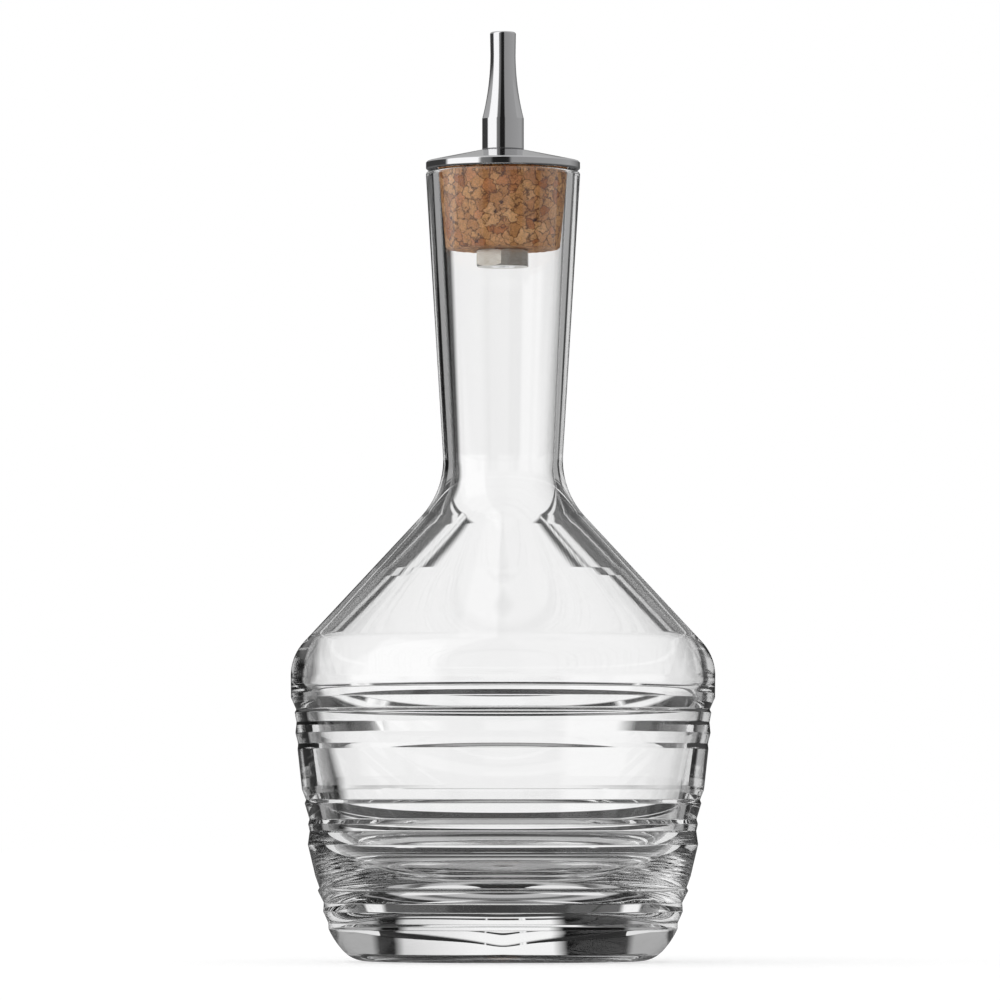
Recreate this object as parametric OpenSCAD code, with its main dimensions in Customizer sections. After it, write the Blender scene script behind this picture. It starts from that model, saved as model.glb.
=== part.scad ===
// Bitters bottle: a thick glass flask with cut rings, closed by a tapered cork
// that carries a steel cap, a turned spout and the nut that clamps them.
// The origin is the centre of the foot, and +Z runs up the bottle.

/* [Glass outside] */
// Diameter of the body at the shoulder
body_d = 80; // [72:0.5:92]
// Plain wall between the top cut and the corner of the shoulder
plain_wall_h = 7.85; // [5:0.05:14]
// Slope of the shoulder, measured from the bottle's axis
shoulder_angle = 43; // [36:0.5:50]
// Rounding where the shoulder meets the body
shoulder_round = 9.4; // [5:0.1:11]
// Length of the neck, from the corner of the shoulder to the rim
neck_l = 60.3; // [48:0.1:75]
// Diameter of the glass at the rim
mouth_d = 29.2; // [28.5:0.1:32]
// Taper of the neck on each side
neck_taper = 3.5; // [2:0.1:4.5]
// Rounding where the neck runs out into the shoulder
neck_round = 15.8; // [10:0.1:20]
// Rounding of the rim's edges
rim_round = 0.6; // [0.3:0.1:0.8]

/* [Cut rings] */
// How much deeper each cut is than drawn, all round the body
cut_extra = 0; // [0:0.05:0.4]
// Height of the heel's upper curve, which leads into the lowest cut
heel_rise = 4.15; // [2.5:0.05:5]
// Radius of the heel's lower curve, which lands on the foot
heel_round = 6; // [4:0.1:8]

/* [Glass inside] */
// Wall of the neck at the rim
mouth_wall = 2.25; // [1.6:0.05:3]
// Wall of the neck at its root
neck_wall = 1.55; // [1:0.05:2.5]
// Wall at the shoulder, square to the glass
shoulder_wall = 1.55; // [1:0.05:2.5]
// How far the bore's root lies below the neck's, down the axis
root_drop = 1.2; // [0.4:0.1:4]
// Rounding inside the root of the neck
root_round = 14; // [8:0.1:18]
// Wall beside the top cut, level with its upper edge
side_wall = 2.7; // [1.6:0.05:4]
// Lean of the inner wall beside the cuts
inner_lean = 10.4; // [9:0.1:12]
// Rounding inside the corner of the shoulder
inner_corner_round = 11.4; // [5:0.1:14]
// Thickness of the solid base, where the floor meets the inner wall
base_t = 12.05; // [11:0.05:16]
// Rise of the floor's middle above its edge, below zero for a floor that sinks inwards
floor_rise = -1.05; // [-2:0.05:2]
// Rounding inside the bottom of the flask
floor_round = 14.6; // [8:0.1:16]
// Diameter of the shallow hollow under the foot
dish_d = 37; // [30:0.5:48]
// Depth of the shallow hollow under the foot
dish_depth = 0.8; // [0.5:0.1:2]

/* [Stopper] */
// Height of the cork
cork_h = 15; // [11:0.1:20]
// Taper of the cork on each side
cork_taper = 5.6; // [3.5:0.1:7]
// Clearance of the cork in the bore, all round at the rim
cork_gap = 0.1; // [0.05:0.01:0.3]
// Bevel round the cork's two ends
cork_bevel = 0.3; // [0.1:0.05:0.8]
// Diameter of the steel cap
cap_d = 29.1; // [28:0.1:32]
// Height of the cap's upright rim
cap_rim_h = 1.7; // [1.2:0.05:3]
// Rise of the cap's cone from the rim to the spout
cap_rise = 2.15; // [1:0.05:4]
// Bevel round the cap's rim
cap_bevel = 0.3; // [0.1:0.05:0.5]
// Gap between the cap and the glass rim when the stopper is home
cap_gap = 0.3; // [0.2:0.05:0.8]

/* [Spout] */
// Diameter of the spout's straight base
spout_base_d = 7.86; // [6.8:0.02:10]
// Height of the spout's straight base
spout_base_h = 5.8; // [3:0.1:9]
// Diameter at the spout's waist
waist_d = 4.75; // [4.2:0.05:5.5]
// Height of the flare from the base up to the waist
flare_h = 12.35; // [8:0.05:18]
// Diameter of the lip at the tip
lip_d = 4.9; // [4.3:0.05:5.8]
// Height from the waist to the tip
lip_h = 4.1; // [2.5:0.1:7]
// Rounding of the lip
lip_round = 0.4; // [0.2:0.05:0.6]
// Diameter of the pouring bore
pour_d = 2.4; // [1.5:0.1:2.8]

/* [Stem and nut] */
// Diameter of the threaded stem
stem_d = 5; // [4:0.1:6]
// Width of the nut across its flats
nut_af = 9.5; // [8.5:0.1:12]
// Thickness of the nut
nut_t = 3.2; // [2.4:0.1:5]
// Turn of the nut about the axis, clockwise from a corner that faces the front
nut_turn = 3.6; // [0:0.1:30]
// Bevel that rounds off the nut's corners
nut_bevel = 0.35; // [0.2:0.05:0.6]
// Running gap between the spout and what it turns in or against
run_gap = 0.05; // [0.02:0.01:0.09]

/* [Hidden] */
$fn = 128;

// Steps in each rounded stretch of an outline
arc_steps = 10;

// The cuts, from the heel up: height above the heel and depth inside the body
// radius, as pairs of a valley and the edge above it, with the plain bands between
low_cuts = [[1.15, 7.1], [3.25, 6.15], [4.95, 6.25], [7.2, 5.1], [7.7, 5.45], [9.95, 4.65]];
middle_cuts = [[18.4, 3.6], [19.7, 3.3], [20.6, 3.55], [23.6, 2.65], [24.25, 2.9], [26.15, 2.15]];
top_cuts = [[34.8, 1.4], [36.85, 0.9], [38.85, 1.1], [40.7, 0.75], [41.25, 1.05], [43.5, 0.05]];
low_band = [15.85, 3.25];
top_band_foot = [26.95, 2.05];
top_band = [33.8, 1.3];
heel_depth = 7.15;

// Tilt of the heel's outline from upright, where its upper curve starts and ends
heel_start_tilt = 24.5;
heel_turn_tilt = 43;

// Outside of the glass
body_r = body_d / 2;
heel_top_r = body_r - heel_depth;
heel_upper_round = heel_rise / (sin(heel_turn_tilt) - sin(heel_start_tilt));
heel_turn_r = heel_top_r - heel_upper_round * (cos(heel_start_tilt) - cos(heel_turn_tilt));
heel_turn_z = heel_round * (1 - sin(heel_turn_tilt));
heel_top_z = heel_turn_z + heel_rise;
foot_r = heel_turn_r - heel_round * cos(heel_turn_tilt);
cut_top_z = heel_top_z + top_cuts[len(top_cuts) - 1][0];
shoulder_z = cut_top_z + plain_wall_h;
root_r = mouth_d / 2 - neck_l * tan(neck_taper);
root_z = shoulder_z + (body_r - root_r) / tan(shoulder_angle);
rim_z = root_z + neck_l;

// Inside of the glass
bore_r = mouth_d / 2 - mouth_wall;
inner_root_z = root_z - root_drop;
inner_root_r = root_r - neck_wall;
shoulder_wall_r = shoulder_wall / cos(shoulder_angle);
middle_r = (body_r + root_r) / 2;
middle_z = (shoulder_z + root_z) / 2;
side_r = body_r - side_wall;
inner_top_z = (middle_r - shoulder_wall_r - side_r
               + middle_z * tan(shoulder_angle) + cut_top_z * tan(inner_lean))
              / (tan(shoulder_angle) + tan(inner_lean));
inner_top_r = side_r + (inner_top_z - cut_top_z) * tan(inner_lean);
floor_r = side_r - (cut_top_z - base_t) * tan(inner_lean);

// Stopper
cap_z = rim_z + cap_gap;
cap_r = cap_d / 2;
seat_z = cap_z + cap_rim_h + cap_rise;
cork_z = cap_z - cork_h;
cork_top_r = bore_r - cork_gap;
cork_foot_r = cork_top_r - cork_h * tan(cork_taper);

// Spout, stem and nut
stem_r = stem_d / 2;
stem_hole_r = stem_r + run_gap;
spout_base_r = spout_base_d / 2;
spout_z = seat_z + run_gap;
flare_z = spout_z + spout_base_h;
waist_z = flare_z + flare_h;
tip_z = waist_z + lip_h;
flare_in = (spout_base_d - waist_d) / 2;
flare_round = (flare_h * flare_h + flare_in * flare_in) / (2 * flare_in);
flare_angle = asin(flare_h / flare_round);
nut_z = cork_z - run_gap - nut_t;
nut_corner_r = nut_af / 2 / cos(30);

// Rounds one corner of an outline: the corner's point between its two neighbours
function rounded_corner(before, corner, after, radius) =
    let (
        back = (before - corner) / norm(before - corner),
        on = (after - corner) / norm(after - corner),
        half = acos(back * on) / 2,
        reach = radius / tan(half),
        middle = (back + on) / norm(back + on),
        centre = corner + middle * radius / sin(half),
        from = corner + back * reach - centre,
        to = corner + on * reach - centre,
        sweep = 180 - 2 * half,
        side = from[0] * to[1] - from[1] * to[0] > 0 ? 1 : -1
    )
    [for (i = [0:arc_steps])
        let (turn = side * sweep * i / arc_steps)
        centre + [from[0] * cos(turn) - from[1] * sin(turn),
                  from[0] * sin(turn) + from[1] * cos(turn)]];

// Points of an arc about a centre, from one angle to another
function arc(centre, radius, start, end) =
    [for (i = [0:arc_steps])
        let (angle = start + (end - start) * i / arc_steps)
        centre + radius * [cos(angle), sin(angle)]];

// Heel, from the foot up to the lowest cut
function heel_outline() = concat(
    arc([foot_r, heel_round], heel_round, -90, -heel_turn_tilt),
    arc([heel_turn_r - heel_upper_round * cos(heel_turn_tilt),
         heel_turn_z + heel_upper_round * sin(heel_turn_tilt)],
        heel_upper_round, -heel_turn_tilt, -heel_start_tilt));

// One group of cuts, with every valley deepened by cut_extra
function cut_outline(cuts) =
    [for (i = [0:len(cuts) - 1])
        [body_r - cuts[i][1] - (i % 2 == 0 ? cut_extra : 0), heel_top_z + cuts[i][0]]];

// One point on a plain band between two groups of cuts
function band_point(row) = [body_r - row[1], heel_top_z + row[0]];

// Whole outside, from the foot up to the rim
function outer_outline() = concat(
    heel_outline(),
    cut_outline(low_cuts),
    [band_point(low_band)],
    cut_outline(middle_cuts),
    [band_point(top_band_foot), band_point(top_band)],
    cut_outline(top_cuts),
    rounded_corner([body_r, cut_top_z], [body_r, shoulder_z], [root_r, root_z], shoulder_round),
    rounded_corner([body_r, shoulder_z], [root_r, root_z], [mouth_d / 2, rim_z], neck_round),
    rounded_corner([root_r, root_z], [mouth_d / 2, rim_z], [bore_r, rim_z], rim_round));

// Whole inside, from the rim down to the axis at the floor
function inner_outline() = concat(
    rounded_corner([mouth_d / 2, rim_z], [bore_r, rim_z], [inner_root_r, inner_root_z], rim_round),
    rounded_corner([bore_r, rim_z], [inner_root_r, inner_root_z],
                   [middle_r - shoulder_wall_r, middle_z], root_round),
    [[middle_r - shoulder_wall_r, middle_z]],
    rounded_corner([middle_r - shoulder_wall_r, middle_z], [inner_top_r, inner_top_z],
                   [side_r, cut_top_z], inner_corner_round),
    [[side_r, cut_top_z]],
    rounded_corner([side_r, cut_top_z], [floor_r, base_t], [0, base_t + floor_rise], floor_round),
    [[0, base_t + floor_rise]]);

// Underside, from the axis out to the standing ring
function foot_outline() = [[0, dish_depth], [dish_d / 2 - dish_depth, dish_depth], [dish_d / 2, 0]];

module glass_bottle() {
    color([0.86, 0.9, 0.9, 0.35])
        rotate_extrude()
            polygon(concat(foot_outline(), outer_outline(), inner_outline()));
}

// Tapered cork with bevelled ends and the hole that the stem passes through
module cork() {
    bevel_r = cork_bevel * tan(cork_taper);
    color("burlywood")
        rotate_extrude()
            polygon([
                [stem_hole_r, cork_z],
                [cork_foot_r - cork_bevel, cork_z],
                [cork_foot_r + bevel_r, cork_z + cork_bevel],
                [cork_top_r - bevel_r, cap_z - cork_bevel],
                [cork_top_r - cork_bevel, cap_z],
                [stem_hole_r, cap_z]]);
}

// Low cone of steel that covers the rim, with the seat for the spout in its middle
module cap_disc() {
    rim_top_z = cap_z + cap_rim_h;
    color("silver")
        rotate_extrude()
            polygon([
                [stem_hole_r, cap_z],
                [cap_r - cap_bevel, cap_z],
                [cap_r, cap_z + cap_bevel],
                [cap_r, rim_top_z - cap_bevel],
                [cap_r - cap_bevel, rim_top_z],
                [spout_base_r, seat_z],
                [stem_hole_r, seat_z]]);
}

// Turned spout and its stem in one piece, bored right through
module nozzle() {
    color("lightgrey")
        rotate_extrude()
            polygon(concat(
                [[pour_d / 2, nut_z], [stem_r, nut_z], [stem_r, spout_z]],
                [[spout_base_r, spout_z]],
                [for (i = [0:arc_steps])
                    let (angle = flare_angle * (1 - i / arc_steps))
                    [waist_d / 2 + flare_round * (1 - cos(angle)),
                     waist_z - flare_round * sin(angle)]],
                rounded_corner([waist_d / 2, waist_z], [lip_d / 2, tip_z],
                               [pour_d / 2, tip_z], lip_round),
                [[pour_d / 2, tip_z]]));
}

// Hexagonal nut under the cork, its corners turned off above and below
module hex_nut() {
    bevel_h = nut_bevel;
    top_z = nut_z + nut_t;
    inside_r = nut_corner_r - nut_bevel / tan(30);
    color("darkgrey")
        difference() {
            intersection() {
                translate([0, 0, nut_z])
                    rotate([0, 0, 30 - nut_turn])
                        cylinder(r = nut_corner_r, h = nut_t, $fn = 6);
                rotate_extrude()
                    polygon([
                        [0, nut_z],
                        [inside_r, nut_z],
                        [nut_corner_r, nut_z + bevel_h],
                        [nut_corner_r, top_z - bevel_h],
                        [inside_r, top_z],
                        [0, top_z]]);
            }
            translate([0, 0, nut_z - 1])
                cylinder(r = stem_hole_r, h = nut_t + 2);
        }
}

glass_bottle();
cork();
cap_disc();
nozzle();
hex_nut();
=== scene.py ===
import math

import bpy
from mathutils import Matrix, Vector, noise


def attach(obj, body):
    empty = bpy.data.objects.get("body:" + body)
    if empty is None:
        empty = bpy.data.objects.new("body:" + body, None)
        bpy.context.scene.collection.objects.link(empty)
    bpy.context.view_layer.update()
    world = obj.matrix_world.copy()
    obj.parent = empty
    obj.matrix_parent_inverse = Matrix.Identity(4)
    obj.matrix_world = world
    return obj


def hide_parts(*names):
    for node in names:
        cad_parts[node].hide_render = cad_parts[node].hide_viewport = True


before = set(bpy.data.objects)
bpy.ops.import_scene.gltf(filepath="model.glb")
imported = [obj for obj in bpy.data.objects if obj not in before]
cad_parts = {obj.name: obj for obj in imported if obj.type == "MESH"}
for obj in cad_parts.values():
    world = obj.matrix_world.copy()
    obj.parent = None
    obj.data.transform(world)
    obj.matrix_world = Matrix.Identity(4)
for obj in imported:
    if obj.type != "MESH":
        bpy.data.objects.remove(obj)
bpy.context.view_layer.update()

# Sizes are in metres and in the frame of the part: the foot stands at z = 0 and +Z runs up the bottle.
MM = 0.001


# Outlines of the turned pieces

def outline_of(node):
    """The (radius, height) outline of a turned CAD node as a walk along its rings, and whether it closes."""
    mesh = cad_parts[node].data
    same = 0.02 * MM
    rings = []
    ring_of = []
    for vertex in mesh.vertices:
        point = (math.hypot(vertex.co.x, vertex.co.y), vertex.co.z)
        for index, ring in enumerate(rings):
            if abs(ring[0] - point[0]) < same and abs(ring[1] - point[1]) < same:
                break
        else:
            index = len(rings)
            rings.append(point)
        ring_of.append(index)
    links = [set() for _ in rings]
    for edge in mesh.edges:
        start, end = (ring_of[index] for index in edge.vertices)
        if start != end:
            links[start].add(end)
            links[end].add(start)
    ends = [index for index, near in enumerate(links) if len(near) == 1]
    first = min(ends or range(len(rings)), key=lambda index: rings[index][1])
    walk = [first]
    while True:
        onward = [index for index in links[walk[-1]] if index not in walk]
        if not onward:
            break
        walk.append(max(onward, key=lambda index: rings[index][0]))
    return [rings[index] for index in walk], not ends


def turn_at(before, point, after):
    """Angle in degrees by which an outline changes direction at a point."""
    start = Vector(point) - Vector(before)
    end = Vector(after) - Vector(point)
    return math.degrees(start.angle(end))


def without_breaks(outline, closed):
    """The outline without the points that lie on a straight stretch of it."""
    count = len(outline)
    kept = []
    for index, point in enumerate(outline):
        at_end = not closed and index in (0, count - 1)
        if at_end or turn_at(outline[index - 1], point, outline[(index + 1) % count]) > 0.2:
            kept.append(point)
    return kept


def rounded(outline, closed, sharp=11.0, longest=2.3 * MM, step=1.2):
    """The outline with its round stretches, which are short chords in the CAD, redrawn in steps of a degree or so."""
    count = len(outline)
    points = [Vector(point) for point in outline]
    headings = []
    for index, point in enumerate(points):
        back = point - points[index - 1]
        onward = points[(index + 1) % count] - point
        at_end = not closed and index in (0, count - 1)
        if at_end or math.degrees(back.angle(onward)) > sharp or min(back.length, onward.length) > longest:
            headings.append(None)
        elif max(back.length, onward.length) > 2.5 * min(back.length, onward.length):
            headings.append(max(back, onward, key=lambda stretch: stretch.length).normalized())
        else:
            headings.append((back.normalized() + onward.normalized()).normalized())
    fine = []
    for index in range(count if closed else count - 1):
        start, end = points[index], points[(index + 1) % count]
        chord = end - start
        first = headings[index] or chord.normalized()
        last = headings[(index + 1) % count] or chord.normalized()
        parts = max(1, math.ceil(math.degrees(first.angle(chord) + chord.angle(last)) / step))
        for part in range(parts):
            t = part / parts
            spot = (start * (2 * t ** 3 - 3 * t ** 2 + 1) + end * (3 * t ** 2 - 2 * t ** 3)
                    + first * chord.length * (t ** 3 - 2 * t ** 2 + t) + last * chord.length * (t ** 3 - t ** 2))
            fine.append(tuple(spot))
    if not closed:
        fine.append(outline[-1])
    return fine


def softened(outline, closed, radius, sharp=11.0, steps=4):
    """The outline with an arc of this radius in place of each sharp corner."""
    count = len(outline)
    soft = []
    for index, point in enumerate(outline):
        at_end = not closed and index in (0, count - 1)
        before, after = outline[index - 1], outline[(index + 1) % count]
        if at_end or turn_at(before, point, after) < sharp:
            soft.append(point)
            continue
        corner = Vector(point)
        back = Vector(before) - corner
        onward = Vector(after) - corner
        half = math.radians(180 - turn_at(before, point, after)) / 2
        reach = min(radius / math.tan(half), back.length * 0.45, onward.length * 0.45)
        start = corner + back.normalized() * reach
        end = corner + onward.normalized() * reach
        for step in range(steps + 1):
            share = step / steps
            bend = start.lerp(corner, share).lerp(corner.lerp(end, share), share)
            soft.append((bend.x, bend.y))
    return soft


def supported(outline, closed, longest, margin):
    """The outline with points near both ends of each long stretch, so that it shades straight."""
    count = len(outline)
    dense = []
    for index in range(count if closed else count - 1):
        start, end = Vector(outline[index]), Vector(outline[(index + 1) % count])
        dense.append(tuple(start))
        length = (end - start).length
        if length > longest:
            for share in (margin / length, 1 - margin / length):
                dense.append(tuple(start.lerp(end, share)))
    if not closed:
        dense.append(outline[-1])
    return dense


def lathe(name, outline, closed, segments):
    """A mesh object that is the outline turned about Z. An open outline is capped on the axis at both ends."""
    vertices = []
    faces = []
    for radius, height in outline:
        for side in range(segments):
            angle = 2 * math.pi * side / segments
            vertices.append((radius * math.cos(angle), radius * math.sin(angle), height))
    count = len(outline)
    for index in range(count if closed else count - 1):
        this, following = index * segments, (index + 1) % count * segments
        for side in range(segments):
            beside = (side + 1) % segments
            faces.append((this + side, this + beside, following + beside, following + side))
    if not closed:
        for index in (0, count - 1):
            hub = len(vertices)
            vertices.append((0, 0, outline[index][1]))
            ring = index * segments
            for side in range(segments):
                pair = (ring + side, ring + (side + 1) % segments)
                faces.append((hub, pair[1], pair[0]) if index == 0 else (hub, pair[0], pair[1]))
    mesh = bpy.data.meshes.new(name)
    mesh.from_pydata(vertices, [], faces)
    mesh.update()
    mesh.shade_smooth()
    made = bpy.data.objects.new(name, mesh)
    bpy.context.scene.collection.objects.link(made)
    return made


# Shader helpers

def shader(name):
    """A new material with a Principled shader: the material, its nodes, its links and the shader."""
    material = bpy.data.materials.new(name)
    material.use_nodes = True
    nodes = material.node_tree.nodes
    return material, nodes, material.node_tree.links, nodes["Principled BSDF"]


def math_node(tree, operation, first, second=None, third=None):
    """A Math node whose inputs are sockets or numbers. Returns its output."""
    made = tree.nodes.new("ShaderNodeMath")
    made.operation = operation
    for index, value in enumerate((first, second, third)):
        if value is None:
            continue
        if isinstance(value, (int, float)):
            made.inputs[index].default_value = value
        else:
            tree.links.new(value, made.inputs[index])
    return made.outputs[0]


def ramp_node(tree, factor, stops, smooth=True):
    """A Color Ramp over a factor, from (position, grey level) stops. Returns its colour output."""
    made = tree.nodes.new("ShaderNodeValToRGB")
    made.color_ramp.interpolation = "LINEAR" if smooth else "CONSTANT"
    elements = made.color_ramp.elements
    elements.remove(elements[1])
    for index, (position, level) in enumerate(stops):
        element = elements.new(position) if index else elements[0]
        element.position = position
        element.color = (level, level, level, 1) if isinstance(level, (int, float)) else (*level, 1)
    tree.links.new(factor, made.inputs[0])
    return made.outputs[0]


# Glass bottle

def clear_glass():
    """Clear crystal, smooth: the few hundredths of a millimetre of waviness of the real surface are left out."""
    material, nodes, links, glass = shader("clear_glass")
    glass.inputs["Base Color"].default_value = (1, 1, 1, 1)
    glass.inputs["Roughness"].default_value = 0.0
    glass.inputs["IOR"].default_value = 1.52
    glass.inputs["Transmission Weight"].default_value = 1.0
    return material


def make_glass():
    outline, closed = outline_of("glass_bottle")
    outline = rounded(without_breaks(outline, closed), closed)
    outline = softened(outline, closed, 0.3 * MM)
    outline = supported(outline, closed, 0.6 * MM, 0.08 * MM)
    bottle = lathe("bottle_glass", outline, closed, 256)
    bottle.data.materials.append(clear_glass())
    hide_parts("glass_bottle")
    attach(bottle, "bottle")
    return bottle


# Steel pieces

def polished_steel():
    """Mirror-bright turned steel with faint turning marks and a few duller places."""
    material, nodes, links, steel = shader("polished_steel")
    tree = material.node_tree
    steel.inputs["Base Color"].default_value = (0.78, 0.78, 0.79, 1)
    steel.inputs["Metallic"].default_value = 1.0
    coords = nodes.new("ShaderNodeTexCoord")
    marks = nodes.new("ShaderNodeTexNoise")
    marks.inputs["Scale"].default_value = 1.0
    marks.inputs["Detail"].default_value = 2.0
    rings = nodes.new("ShaderNodeMapping")
    rings.inputs["Scale"].default_value = (60, 60, 9000)
    links.new(coords.outputs["Object"], rings.inputs["Vector"])
    links.new(rings.outputs[0], marks.inputs["Vector"])
    clouds = nodes.new("ShaderNodeTexNoise")
    clouds.inputs["Scale"].default_value = 350
    clouds.inputs["Detail"].default_value = 3.0
    links.new(coords.outputs["Object"], clouds.inputs["Vector"])
    dull = math_node(tree, "MULTIPLY_ADD", clouds.outputs["Fac"], 0.1, 0.03)
    links.new(dull, steel.inputs["Roughness"])
    bump = nodes.new("ShaderNodeBump")
    bump.inputs["Strength"].default_value = 0.25
    bump.inputs["Distance"].default_value = 0.002 * MM
    links.new(marks.outputs["Fac"], bump.inputs["Height"])
    links.new(bump.outputs[0], steel.inputs["Normal"])
    return material


def plain_steel():
    """Duller, warmer steel of the nut, with fine marks along its faces."""
    material, nodes, links, steel = shader("plain_steel")
    tree = material.node_tree
    steel.inputs["Metallic"].default_value = 1.0
    coords = nodes.new("ShaderNodeTexCoord")
    brush = nodes.new("ShaderNodeMapping")
    brush.inputs["Scale"].default_value = (700, 700, 9000)
    links.new(coords.outputs["Object"], brush.inputs["Vector"])
    marks = nodes.new("ShaderNodeTexNoise")
    marks.inputs["Scale"].default_value = 1.0
    marks.inputs["Detail"].default_value = 4.0
    links.new(brush.outputs[0], marks.inputs["Vector"])
    tint = ramp_node(tree, marks.outputs["Fac"], [(0.3, (0.5, 0.465, 0.41)), (0.7, (0.62, 0.585, 0.53))])
    links.new(tint, steel.inputs["Base Color"])
    dull = math_node(tree, "MULTIPLY_ADD", marks.outputs["Fac"], 0.12, 0.16)
    links.new(dull, steel.inputs["Roughness"])
    bump = nodes.new("ShaderNodeBump")
    bump.inputs["Strength"].default_value = 0.25
    bump.inputs["Distance"].default_value = 0.004 * MM
    links.new(marks.outputs["Fac"], bump.inputs["Height"])
    links.new(bump.outputs[0], steel.inputs["Normal"])
    return material


THREAD_PITCH = 0.8 * MM
THREAD_DEPTH = 0.3 * MM
THREAD_LENGTH = 7 * MM


def divided(outline, step, wanted):
    """The closed outline with each stretch that the test wants cut into steps of this length."""
    count = len(outline)
    fine = []
    for index in range(count):
        start, end = Vector(outline[index]), Vector(outline[(index + 1) % count])
        parts = max(1, round((end - start).length / step)) if wanted(start, end) else 1
        fine.extend(tuple(start.lerp(end, part / parts)) for part in range(parts))
    return fine


def cut_thread(piece, foot, stem_r):
    """Cuts a screw thread into the foot of the stem. The crests stay on the CAD's radius."""
    spots = []
    for vertex in piece.data.vertices:
        spot = vertex.co.copy()
        radius = math.hypot(spot.x, spot.y)
        height = spot.z - foot
        if abs(radius - stem_r) < 0.01 * MM and 0.05 * MM < height < THREAD_LENGTH:
            turn = math.atan2(spot.y, spot.x) / (2 * math.pi)
            phase = (height / THREAD_PITCH - turn) % 1.0
            depth = THREAD_DEPTH * max(0.0, 1 - abs(phase - 0.5) / 0.42)
            fade = min(1.0, (THREAD_LENGTH - height) / THREAD_PITCH, height / (0.4 * THREAD_PITCH))
            share = 1 - depth * fade / radius
            spot.x *= share
            spot.y *= share
        spots.extend(spot)
    piece.data.vertices.foreach_set("co", spots)
    piece.data.update()


def make_cap(material):
    outline, closed = outline_of("cap_disc")
    outline = softened(without_breaks(outline, closed), closed, 0.16 * MM, sharp=20)
    outline = supported(outline, closed, 0.8 * MM, 0.06 * MM)
    piece = lathe("steel_cap", outline, closed, 256)
    piece.data.materials.append(material)
    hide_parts("cap_disc")
    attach(piece, "stopper")


def make_spout(material):
    outline, closed = outline_of("nozzle")
    outline = rounded(without_breaks(outline, closed), closed)
    outline = softened(outline, closed, 0.12 * MM, sharp=20)
    outline = supported(outline, closed, 0.8 * MM, 0.06 * MM)
    foot = min(point[1] for point in outline)
    stem_r = max(point[0] for point in outline if point[1] < foot + 2 * MM)

    def on_thread(start, end):
        upright = abs(start.x - stem_r) < 0.01 * MM and abs(end.x - stem_r) < 0.01 * MM
        return upright and min(start.y, end.y) < foot + THREAD_LENGTH

    outline = divided(outline, 0.1 * MM, on_thread)
    piece = lathe("steel_spout", outline, closed, 128)
    cut_thread(piece, foot, stem_r)
    piece.data.materials.append(material)
    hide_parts("nozzle")
    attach(piece, "spout")


# Cork

GRAIN_SIZE = 1.9 * MM


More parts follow.
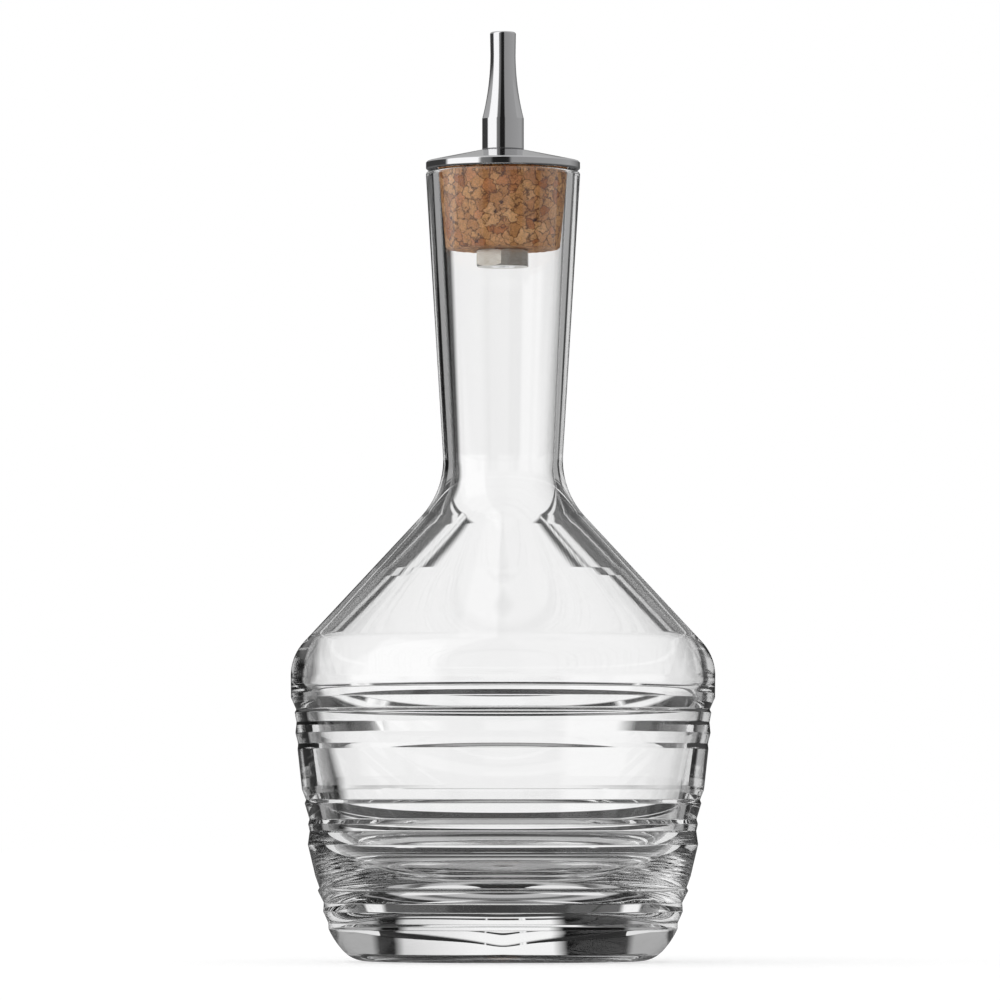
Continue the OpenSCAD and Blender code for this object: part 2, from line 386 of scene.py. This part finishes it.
def cork_material():
    """Pressed cork: warped granules of several browns, dark seams, a fine grain, and painted shade in pores and fine
    creases.
    """
    material, nodes, links, cork = shader("cork")
    tree = material.node_tree
    coords = nodes.new("ShaderNodeTexCoord")
    millimetres = nodes.new("ShaderNodeMapping")
    millimetres.inputs["Scale"].default_value = (1000, 1000, 1000)
    links.new(coords.outputs["Object"], millimetres.inputs["Vector"])
    place = millimetres.outputs[0]

    def noise_at(scale, detail, vector=place):
        made = nodes.new("ShaderNodeTexNoise")
        made.inputs["Scale"].default_value = scale
        made.inputs["Detail"].default_value = detail
        links.new(vector, made.inputs["Vector"])
        return made

    def vector_math(operation, first, second):
        made = nodes.new("ShaderNodeVectorMath")
        made.operation = operation
        for index, value in enumerate((first, second)):
            if isinstance(value, tuple):
                made.inputs[index].default_value = value
            else:
                links.new(value, made.inputs[index])
        return made.outputs[0]

    def warped(scale, detail, reach):
        shift = vector_math("SUBTRACT", noise_at(scale, detail).outputs["Color"], (0.5, 0.5, 0.5))
        return vector_math("ADD", place, vector_math("MULTIPLY", shift, (reach, reach, reach)))

    def cells(feature, scale, vector):
        made = nodes.new("ShaderNodeTexVoronoi")
        made.feature = feature
        made.inputs["Scale"].default_value = scale
        links.new(vector, made.inputs["Vector"])
        return made

    def blend(kind, factor, first, second):
        made = nodes.new("ShaderNodeMix")
        made.data_type = "RGBA"
        made.blend_type = kind
        for socket, value in ((made.inputs[0], factor), (made.inputs[6], first), (made.inputs[7], second)):
            if isinstance(value, (int, float)):
                socket.default_value = value
            elif isinstance(value, tuple):
                socket.default_value = (*value, 1)
            else:
                links.new(value, socket)
        return made.outputs[2]

    bent = warped(0.7, 3, 2.2)
    scale = MM / GRAIN_SIZE
    grains = cells("F1", scale, bent)
    random = nodes.new("ShaderNodeSeparateColor")
    links.new(grains.outputs["Color"], random.inputs[0])
    tan = ramp_node(tree, random.outputs[0], [
        (0.0, (0.5, 0.235, 0.085)), (0.25, (0.68, 0.38, 0.165)), (0.5, (0.6, 0.3, 0.115)),
        (0.7, (0.74, 0.44, 0.22)), (0.86, (0.46, 0.17, 0.05)), (1.0, (0.66, 0.32, 0.15))])
    streaks = noise_at(3.2, 4, warped(1.5, 2, 1.2))
    shade = ramp_node(tree, streaks.outputs["Fac"], [(0.3, 0.72), (0.7, 1.2)])
    colour = blend("MULTIPLY", 1.0, tan, shade)
    patches = noise_at(0.28, 2)
    warmth = ramp_node(tree, patches.outputs["Fac"], [(0.4, (0.92, 0.82, 0.72)), (0.62, (1.1, 1.06, 1.0))])
    colour = blend("MULTIPLY", 1.0, colour, warmth)

    seams = cells("DISTANCE_TO_EDGE", scale, bent)
    width = math_node(tree, "MULTIPLY_ADD", noise_at(1.1, 3).outputs["Fac"], 0.34, -0.1)
    seam = math_node(tree, "DIVIDE", seams.outputs["Distance"], math_node(tree, "MAXIMUM", width, 0.004))
    seam = math_node(tree, "SUBTRACT", 1.0, math_node(tree, "MINIMUM", seam, 1.0))
    colour = blend("MIX", math_node(tree, "MULTIPLY", seam, 0.9), colour, (0.09, 0.03, 0.011))

    # Painted shade in fine creases: in patches, a thin net of lines is darkened towards (0.15, 0.055, 0.022). Neither
    # the bump nor the mesh has these creases.
    small = cells("DISTANCE_TO_EDGE", 1.25, warped(1.6, 2, 0.9))
    crease_shade = ramp_node(tree, small.outputs["Distance"], [(0.0, 1.0), (0.075, 0.0)])
    where = ramp_node(tree, noise_at(0.55, 2).outputs["Fac"], [(0.46, 0.0), (0.6, 0.75)])
    crease_shade = math_node(tree, "MULTIPLY", crease_shade, where)
    colour = blend("MIX", crease_shade, colour, (0.15, 0.055, 0.022))

    # Painted shade in pores: near-black dots, (0.05, 0.012, 0.009), stand in for the shade inside small pits. The
    # bump further down also sinks them.
    dots = cells("F1", 0.62, warped(2.2, 2, 0.5))
    pick = nodes.new("ShaderNodeSeparateColor")
    links.new(dots.outputs["Color"], pick.inputs[0])
    near = ramp_node(tree, dots.outputs["Distance"], [(0.16, 1.0), (0.27, 0.0)])
    chosen = math_node(tree, "GREATER_THAN", pick.outputs[1], 0.82)
    shaded_pore = math_node(tree, "MULTIPLY", near, chosen)
    colour = blend("MIX", math_node(tree, "MULTIPLY", shaded_pore, 0.9), colour, (0.05, 0.012, 0.009))

    links.new(colour, cork.inputs["Base Color"])
    cork.inputs["Roughness"].default_value = 0.85
    relief = math_node(tree, "MULTIPLY_ADD", streaks.outputs["Fac"], 0.3, 0.7)
    relief = math_node(tree, "SUBTRACT", relief, math_node(tree, "MULTIPLY", seam, 0.8))
    relief = math_node(tree, "SUBTRACT", relief, math_node(tree, "MULTIPLY", shaded_pore, 0.8))
    bump = nodes.new("ShaderNodeBump")
    bump.inputs["Strength"].default_value = 0.7
    bump.inputs["Distance"].default_value = 0.12 * MM
    links.new(relief, bump.inputs["Height"])
    links.new(bump.outputs[0], cork.inputs["Normal"])
    return material


def roughen(piece, inner_r, top):
    """Sinks seams and pores into the faces of the cork that can be seen. Nothing rises above the CAD's surface."""
    mesh = piece.data
    normals = [tuple(vertex.normal) for vertex in mesh.vertices]
    spots = []
    for vertex, normal in zip(mesh.vertices, normals):
        spot = vertex.co.copy()
        if math.hypot(spot.x, spot.y) > inner_r and spot.z < top - 0.2 * MM:
            place = spot / MM
            bent = place + noise.noise_vector(place * 0.8) * 0.6
            distances = noise.voronoi(bent * (MM / GRAIN_SIZE))[0]
            seam = max(0.0, 1 - (distances[1] - distances[0]) / 0.16)
            pits = noise.voronoi(bent * 0.7)[0][0]
            pit = max(0.0, 1 - pits / 0.2)
            rough = 0.5 + 0.5 * noise.noise(place * 2.1)
            depth = 0.07 * MM * seam + 0.16 * MM * pit + 0.03 * MM * rough
            spot -= Vector(normal) * depth
        spots.extend(spot)
    mesh.vertices.foreach_set("co", spots)
    mesh.update()


def make_cork():
    outline, closed = outline_of("cork")
    hole_r = min(point[0] for point in outline)
    top = max(point[1] for point in outline)
    outline = divided(outline, 0.2 * MM, lambda start, end: max(start.x, end.x) > hole_r * 1.5)
    piece = lathe("cork_stopper", outline, closed, 288)
    roughen(piece, hole_r * 1.3, top)
    piece.data.materials.append(cork_material())
    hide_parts("cork")
    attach(piece, "stopper")


# Floor, world and camera

def make_floor():
    size = 6.0
    mesh = bpy.data.meshes.new("floor")
    corners = [(-size, -size, 0), (size, -size, 0), (size, size, 0), (-size, size, 0)]
    mesh.from_pydata(corners, [], [(0, 1, 2, 3)])
    floor = bpy.data.objects.new("floor", mesh)
    bpy.context.scene.collection.objects.link(floor)
    material = bpy.data.materials.new("floor")
    material.use_nodes = True
    nodes, links = material.node_tree.nodes, material.node_tree.links
    nodes.clear()
    diffuse = nodes.new("ShaderNodeBsdfDiffuse")
    diffuse.inputs["Color"].default_value = (0.55, 0.55, 0.55, 1)
    glow = nodes.new("ShaderNodeEmission")
    glow.inputs["Strength"].default_value = 0.52
    both = nodes.new("ShaderNodeAddShader")
    links.new(diffuse.outputs[0], both.inputs[0])
    links.new(glow.outputs[0], both.inputs[1])
    # Glass and steel mirror the floor as a dark grey, and rays out of the glass go on to the world's greys
    light = nodes.new("ShaderNodeLightPath")
    grey = nodes.new("ShaderNodeEmission")
    grey.inputs["Strength"].default_value = 0.12
    clear = nodes.new("ShaderNodeBsdfTransparent")
    shown = both
    for ray, other in (("Is Glossy Ray", grey), ("Is Transmission Ray", clear)):
        choice = nodes.new("ShaderNodeMixShader")
        links.new(light.outputs[ray], choice.inputs[0])
        links.new(shown.outputs[0], choice.inputs[1])
        links.new(other.outputs[0], choice.inputs[2])
        shown = choice
    out = nodes.new("ShaderNodeOutputMaterial")
    links.new(shown.outputs[0], out.inputs["Surface"])
    mesh.materials.append(material)
    floor.location.z = -0.0002


# What stands behind the glass: a white panel, and greys below it. Angles are in degrees, and azimuths
# are measured from straight behind the bottle
PANEL_LEFT = -12.0
PANEL_RIGHT = 25.0
PANEL_LEVELS = [(-12.6, 0.0), (-11.7, 0.97), (4.9, 0.97), (5.3, 0.0), (6.1, 0.0), (6.5, 0.9), (7.4, 0.9), (8, 0.0)]
REAR_DIAGONAL_LEVEL = 0.4
FRONT_DIAGONAL_LEVEL = 0.6
SOFTBOX_LEVELS = [(-14, 0.0), (-10, 1.1), (40, 1.1), (50, 0.0)]
UPPER_LEVELS = [(6, 0.02), (8, 0.05), (14.6, 0.05), (15, 0.9), (16.4, 0.9), (16.8, 0.05), (40, 0.02)]
# The ground is pale all round, apart from the dark things that stand on it straight behind the bottle
GROUND_LEVEL = 0.85
GROUND_LEVELS = [
    (-80, 0.02), (-72, 0.03), (-68, 0.55), (-58, 0.45), (-54, 0.1), (-50, 0.2), (-46, 0.5), (-40, 0.5),
    (-37, 0.02), (-28, 0.02), (-26.5, 0.35), (-25, 0.3), (-22, 0.02), (-12.6, 0.02), (-11.7, 0.0)]
GROUND_HALF_WIDTH = 34.0
OPPOSITE_PANEL_LEVEL = 0.7
# Narrow bright strips beside the panel's middle, as azimuth and half width
STRIPS = [(-4.4, 0.3), (-3.6, 0.3), (3.5, 0.3)]


def make_world():
    scene = bpy.context.scene
    world = bpy.data.worlds.new("studio")
    scene.world = world
    world.use_nodes = True
    tree = world.node_tree
    tree.nodes.clear()
    coords = tree.nodes.new("ShaderNodeTexCoord")
    split = tree.nodes.new("ShaderNodeSeparateXYZ")
    tree.links.new(coords.outputs["Generated"], split.inputs[0])
    x, y, z = split.outputs[0], split.outputs[1], split.outputs[2]
    light = tree.nodes.new("ShaderNodeLightPath")

    def mixed(factor, first, second):
        made = tree.nodes.new("ShaderNodeMix")
        made.data_type = "FLOAT"
        tree.links.new(factor, made.inputs[0])
        for index, value in ((2, first), (3, second)):
            if isinstance(value, (int, float)):
                made.inputs[index].default_value = value
            else:
                tree.links.new(value, made.inputs[index])
        return made.outputs[0]

    # Behind the glass, the same panel on each of four sides with dark gaps between
    azimuth = math_node(tree, "ARCTAN2", x, y)
    quarter = math_node(tree, "MULTIPLY_ADD", azimuth, 2 / math.pi, 8.5)
    folded = math_node(tree, "FRACT", quarter)
    left = 0.5 + PANEL_LEFT / 90
    right = 0.5 + PANEL_RIGHT / 90
    edge = 0.02
    sideways = ramp_node(tree, folded, [(0, 0.0), (left - edge, 0.0), (left + edge, 1.0),
                                        (0.55, 1.0), (right - edge, 0.72), (right + edge, 0.0), (1, 0.0)])
    aside = math_node(tree, "ABSOLUTE", azimuth)
    corners = ramp_node(tree, folded, [(0, 1.0), (0.1, 1.0), (0.14, 0.0), (0.86, 0.0), (0.9, 1.0)])
    opposite = math_node(tree, "GREATER_THAN", aside, math.pi * 3 / 4)
    sideways = math_node(tree, "MULTIPLY", sideways, mixed(opposite, 1.0, OPPOSITE_PANEL_LEVEL))
    in_front = math_node(tree, "GREATER_THAN", aside, math.pi / 2)
    diagonal = mixed(in_front, REAR_DIAGONAL_LEVEL, FRONT_DIAGONAL_LEVEL)
    sideways = math_node(tree, "MULTIPLY_ADD", corners, diagonal, sideways)
    elevation = math_node(tree, "ARCSINE", z)

    def by_elevation(levels):
        lowest = levels[0][0]
        span = levels[-1][0] - lowest
        share = math_node(tree, "MULTIPLY_ADD", elevation, 180 / math.pi / span, -lowest / span)
        return ramp_node(tree, share, [((degrees - lowest) / span, level) for degrees, level in levels])

    panel = math_node(tree, "MULTIPLY", sideways, by_elevation(PANEL_LEVELS))
    pale = by_elevation([(-12.6, GROUND_LEVEL), (-11.7, 0.0)])
    half = math.radians(GROUND_HALF_WIDTH)
    straight = math_node(tree, "LESS_THAN", aside, half)
    ground = mixed(straight, pale, by_elevation(GROUND_LEVELS))
    behind = math_node(tree, "ADD", panel, ground)
    behind = math_node(tree, "ADD", behind, by_elevation([(5, 0.0)] + UPPER_LEVELS))
    stops = [(0, 0.0)]
    for middle, half in STRIPS:
        for degrees, level in ((-half, 0.0), (-half * 0.85, 1.0), (half * 0.85, 1.0), (half, 0.0)):
            stops.append((0.5 + (middle + degrees) / 90, level))
    beside = by_elevation([(-14.2, 0.0), (-14, 1.0), (-12, 1.0), (-11.8, 0.0), (5, 0.0), (5.2, 1.0), (7, 1.0), (7.5, 0.0)])
    strips = math_node(tree, "MULTIPLY", ramp_node(tree, folded, stops), beside)
    behind = math_node(tree, "MAXIMUM", behind, strips)

    # Round the steel, a bright box on the left, a grey card on the right and dark elsewhere
    front = math_node(tree, "ARCTAN2", x, math_node(tree, "MULTIPLY", y, -1.0))
    around = math_node(tree, "MULTIPLY_ADD", front, 1 / (2 * math.pi), 0.5)

    def turn(degrees):
        return degrees / 360 + 0.5

    card = ramp_node(tree, around, [
        (0, 0.05), (turn(-96), 0.05), (turn(-90), 1.2), (turn(-38), 1.2), (turn(-33), 0.2),
        (turn(-19), 0.16), (turn(-15), 0.015), (turn(9), 0.015), (turn(13), 0.32),
        (turn(120), 0.4), (turn(150), 0.2), (turn(165), 0.05)])

    box = ramp_node(tree, around, [(0, 0.0), (turn(-88), 0.0), (turn(-84), 1.0), (turn(-42), 1.0), (turn(-38), 0.0)])
    behind = math_node(tree, "MAXIMUM", behind, math_node(tree, "MULTIPLY", box, by_elevation(SOFTBOX_LEVELS)))

    above = math_node(tree, "MULTIPLY", by_elevation([(7, 0.0), (13, 0.42), (60, 0.55)]),
                      math_node(tree, "LESS_THAN", aside, math.pi / 2))
    card = math_node(tree, "MAXIMUM", card, above)

    # Light for everything that is reached by way of a matt surface, stronger from the left
    matt = math_node(tree, "MULTIPLY_ADD", x, -0.4, 1.0)
    plain = math_node(tree, "GREATER_THAN", light.outputs["Diffuse Depth"], 0.5)
    through = light.outputs["Is Transmission Ray"]
    camera = light.outputs["Is Camera Ray"]

    level = mixed(through, card, behind)
    level = mixed(plain, level, matt)
    level = mixed(camera, level, 1.0)
    glow = tree.nodes.new("ShaderNodeBackground")
    glow.inputs["Color"].default_value = (1, 1, 1, 1)
    tree.links.new(level, glow.inputs["Strength"])
    out = tree.nodes.new("ShaderNodeOutputWorld")
    tree.links.new(glow.outputs[0], out.inputs["Surface"])


# The photograph's frame at the bottle's axis
PIXEL = 0.1885 * MM
PHOTO_WIDTH = 1000
FOOT_ROW = 960.7
MIDDLE_COLUMN = 503.0
CAMERA_DISTANCE = 1.6
EYE_HEIGHT = 26 * MM


def make_camera():
    data = bpy.data.cameras.new("camera")
    camera = bpy.data.objects.new("camera", data)
    bpy.context.scene.collection.objects.link(camera)
    bpy.context.scene.camera = camera
    data.sensor_width = 36.0
    data.lens = data.sensor_width * CAMERA_DISTANCE / (PHOTO_WIDTH * PIXEL)
    data.clip_end = 50
    target = Vector(((PHOTO_WIDTH / 2 - MIDDLE_COLUMN) * PIXEL, 0, (FOOT_ROW - PHOTO_WIDTH / 2) * PIXEL))
    camera.location = (target.x, -CAMERA_DISTANCE, EYE_HEIGHT)
    camera.rotation_mode = "QUATERNION"
    camera.rotation_quaternion = (target - camera.location).to_track_quat("-Z", "Y")


make_glass()
steel = polished_steel()
make_cap(steel)
make_spout(steel)
make_cork()
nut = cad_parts["hex_nut"]
nut.material_slots[0].link = "OBJECT"
nut.material_slots[0].material = plain_steel()
make_floor()
make_world()
make_camera()

scene = bpy.context.scene
scene.view_settings.view_transform = "Standard"
scene.cycles.max_bounces = 28
scene.cycles.transmission_bounces = 28
scene.cycles.glossy_bounces = 12
scene.cycles.transparent_max_bounces = 8
scene.cycles.diffuse_bounces = 3
